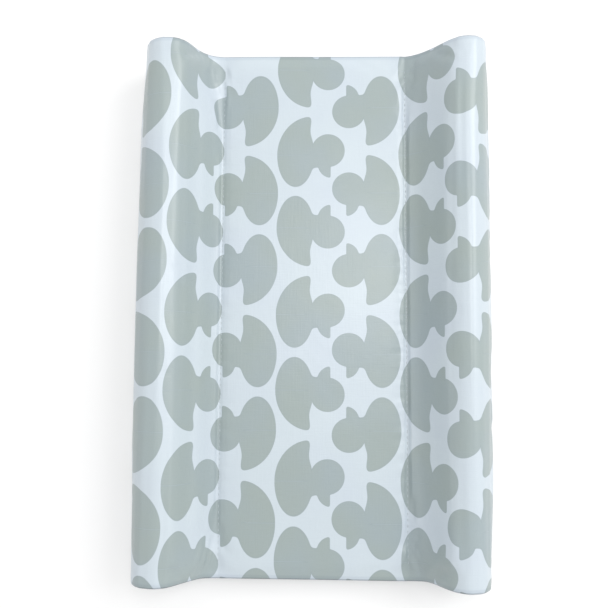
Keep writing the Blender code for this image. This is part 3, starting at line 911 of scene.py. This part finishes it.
# --- fillings -----------------------------------------------------------------------------------
def filling(name, node, sign, inner_u, outer_u, floor_x):
    """A foam block under a stretch of the cover, with rounded long edges and ends."""
    u = np.linspace(inner_u, outer_u, 46)
    base = BASE_TOP + 0.0004
    front, back = FILLING_FRONT + 0.0008, FILLING_BACK - 0.0008
    turn = np.linspace(0, math.pi / 2, 6)
    from_end, lower = FILLING_ROUND * (1 - np.sin(turn)), 1 - np.cos(turn)
    middle = np.linspace(front + FILLING_ROUND + 0.02, back - FILLING_ROUND - 0.02, 32)
    stations = np.concatenate([front + from_end[::-1], middle, back - from_end])
    drops = FILLING_DROP * np.concatenate([lower[::-1], np.zeros(len(middle)), lower])
    rings = []
    for station, drop in zip(stations, drops):
        over = cover_point(sign * u, station, FILLING_DEPTH + drop)
        over[:, 1] = station
        first, last = over[0, 0], over[-1, 0]
        inner_wall = np.linspace((first, station, over[0, 2]), (floor_x, station, base), 6)[1:]
        floor = np.linspace((floor_x, station, base), (last, station, base), 12)[1:-1]
        over[:, 2] = np.maximum(over[:, 2], base + 0.0005)
        rings.append(np.concatenate([over[::-1], inner_wall, floor]))
    rings = np.array(rings)
    count = rings.shape[1]
    mesh = bpy.data.meshes.new(name)
    faces = []
    for i in range(len(rings) - 1):
        for k in range(count):
            after = (k + 1) % count
            a, b = i * count + k, i * count + after
            faces.append((a, b, b + count, a + count))
    faces.append(tuple(range(count - 1, -1, -1)))
    last_ring = (len(rings) - 1) * count
    faces.append(tuple(range(last_ring, last_ring + count)))
    mesh.from_pydata(rings.reshape(-1, 3).tolist(), [], faces)
    fix = bmesh.new()
    fix.from_mesh(mesh)
    bmesh.ops.recalc_face_normals(fix, faces=fix.faces)
    bmesh.ops.triangulate(fix, faces=[face for face in fix.faces if len(face.verts) > 4])
    fix.to_mesh(mesh)
    fix.free()
    piece = link(name, mesh, FOAM)
    belongs(piece, "pad", "filling_foam", node)


def build_fillings():
    clear = 0.0008
    for side, sign in (("left", -1), ("right", 1)):
        half = HALVES[sign]
        filling(
            f"bolster_filling_{side}",
            f"bolster_core_{side}",
            sign,
            half.stitch + clear,
            half.hem - 0.004,
            sign * (STITCH_X + clear),
        )
    centre = HALVES[1].stitch - clear
    filling("centre_filling", "centre_foam", 1, -centre, centre, -(STITCH_X - clear))


# --- the zip ------------------------------------------------------------------------------------
def build_coils():
    """Each side of the zip is one nylon wire wound into a long flat coil."""
    wire = 0.00042
    pitch = 0.0016
    low, high = COIL_LOW, COIL_HIGH
    turns = int((high.x - low.x - 2 * wire) / pitch)
    per_turn = 10
    angle = np.linspace(0, 2 * math.pi * turns, turns * per_turn + 1)
    x = (angle / (2 * math.pi) - turns / 2) * pitch
    for place, start in (("upper", 0.0), ("lower", math.pi)):
        coil_low, coil_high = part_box(f"zip_coil_{place}")
        y = (low.y + high.y) / 2 + ((high.y - low.y) / 2 - wire) * np.cos(angle + start)
        middle = (coil_low.z + coil_high.z) / 2
        z = middle + ((coil_high.z - coil_low.z) / 2 - wire) * np.sin(angle + start)
        mesh = tubes_mesh(f"coil_{place}", [np.stack([x, y, z], axis=1)], wire, (1, 0, 0))
        belongs(link(mesh.name, mesh, NYLON), "pad", "zip_nylon", f"zip_coil_{place}")


def rounded_copy(node, name, body, width):
    """A CAD node's own shape with its edges rounded, as die-cast metal has."""
    mesh = bpy.data.objects[node].data.copy()
    fix = bmesh.new()
    fix.from_mesh(mesh)
    bmesh.ops.remove_doubles(fix, verts=fix.verts, dist=0.00001)
    bmesh.ops.dissolve_limit(fix, angle_limit=0.02, verts=fix.verts, edges=fix.edges)
    fix.to_mesh(mesh)
    fix.free()
    mesh.name = name
    mesh.materials.clear()
    piece = link(name, mesh, METAL, smooth=False)
    edges = piece.modifiers.new("rounded", "BEVEL")
    edges.width = width
    edges.segments = 3
    edges.limit_method = "ANGLE"
    belongs(piece, body, "zip_metal", node)


def build_zip():
    build_coils()
    rounded_copy("zip_slider", "slider_casting", "slider", 0.00020)
    rounded_copy("zip_pull", "pull_tab", "pull", 0.00030)
    for node, material in (
        ("zip_tape_upper", TAPE),
        ("zip_tape_lower", TAPE),
        ("zip_stop_left", METAL),
        ("zip_stop_right", METAL),
    ):
        for slot in bpy.data.objects[node].material_slots:
            slot.material = material


# --- floor, light and camera --------------------------------------------------------------------
def build_stage():
    """A pale table, lit a little from below so that shadows on it stay faint."""
    bpy.ops.mesh.primitive_plane_add(size=12, location=(0, 0, -0.0002))
    floor = bpy.context.object
    floor.name = "floor"
    made, _, shader = new_material(
        "pale_floor", Roughness=0.9, Emission_Color=(1, 1, 1, 1), Emission_Strength=0.34
    )
    shader.inputs["Base Color"].default_value = (0.58, 0.58, 0.58, 1)
    floor.data.materials.append(made)


def area_light(name, place, target, size, power):
    data = bpy.data.lights.new(name, "AREA")
    data.shape = "RECTANGLE"
    data.size, data.size_y = size
    data.energy = power
    light = bpy.data.objects.new(name, data)
    light.location = place
    light.rotation_euler = (Vector(target) - Vector(place)).to_track_quat("-Z", "Y").to_euler()
    bpy.context.scene.collection.objects.link(light)
    return light


def build_light():
    world = bpy.data.worlds.new("studio")
    world.use_nodes = True
    background = world.node_tree.nodes["Background"]
    background.inputs[0].default_value = (1.0, 1.0, 1.0, 1)
    bpy.context.scene.world = world
    n = Nodes(world.node_tree)
    height = n.split(n.add("ShaderNodeTexCoord").outputs["Generated"])[2]
    around = n.ramp(height, 0.05, 0.55, 0.84, 1.00)
    n.put(background.inputs[1], n.math("SUBTRACT", around, n.ramp(height, 0.60, 0.95, 0.0, 0.50)))
    head = area_light("head_softbox", (0.10, 2.0, 2.5), (0, 0, 0.05), (1.2, 1.2), 12.5)
    head.visible_glossy = False
    area_light("key_softbox", (2.9, 1.3, 3.4), (0, 0, 0.05), (2.4, 2.4), 92)
    area_light("top_softbox", (0.25, 0.32, 2.0), (0.1, 0.06, 0.05), (0.4, 0.5), 7.8)
    bpy.context.scene.view_settings.view_transform = "Standard"


def build_camera():
    data = bpy.data.cameras.new("camera")
    data.sensor_width = 36
    data.lens = 43.78
    camera = bpy.data.objects.new("camera", data)
    camera.location = (0.0250, -0.0854, 1.0270)
    camera.rotation_mode = "ZYX"
    camera.rotation_euler = (0.0935, 0.0382, 0.0017)
    bpy.context.scene.collection.objects.link(camera)
    bpy.context.scene.camera = camera


def main():
    puff = Puff()
    build_top_cover(puff)
    end_panel("head_panel_sheet", 1, BASE_TOP + 0.0003, "head_end_panel")
    end_panel("foot_panel_sheet", -1, MOUTH_TOP, "foot_end_panel")
    build_hem_strip()
    build_base()
    build_dividers()
    build_label()
    build_topstitching(puff)
    build_hem_stitching()
    build_fillings()
    build_zip()
    build_stage()
    build_light()
    build_camera()


main()
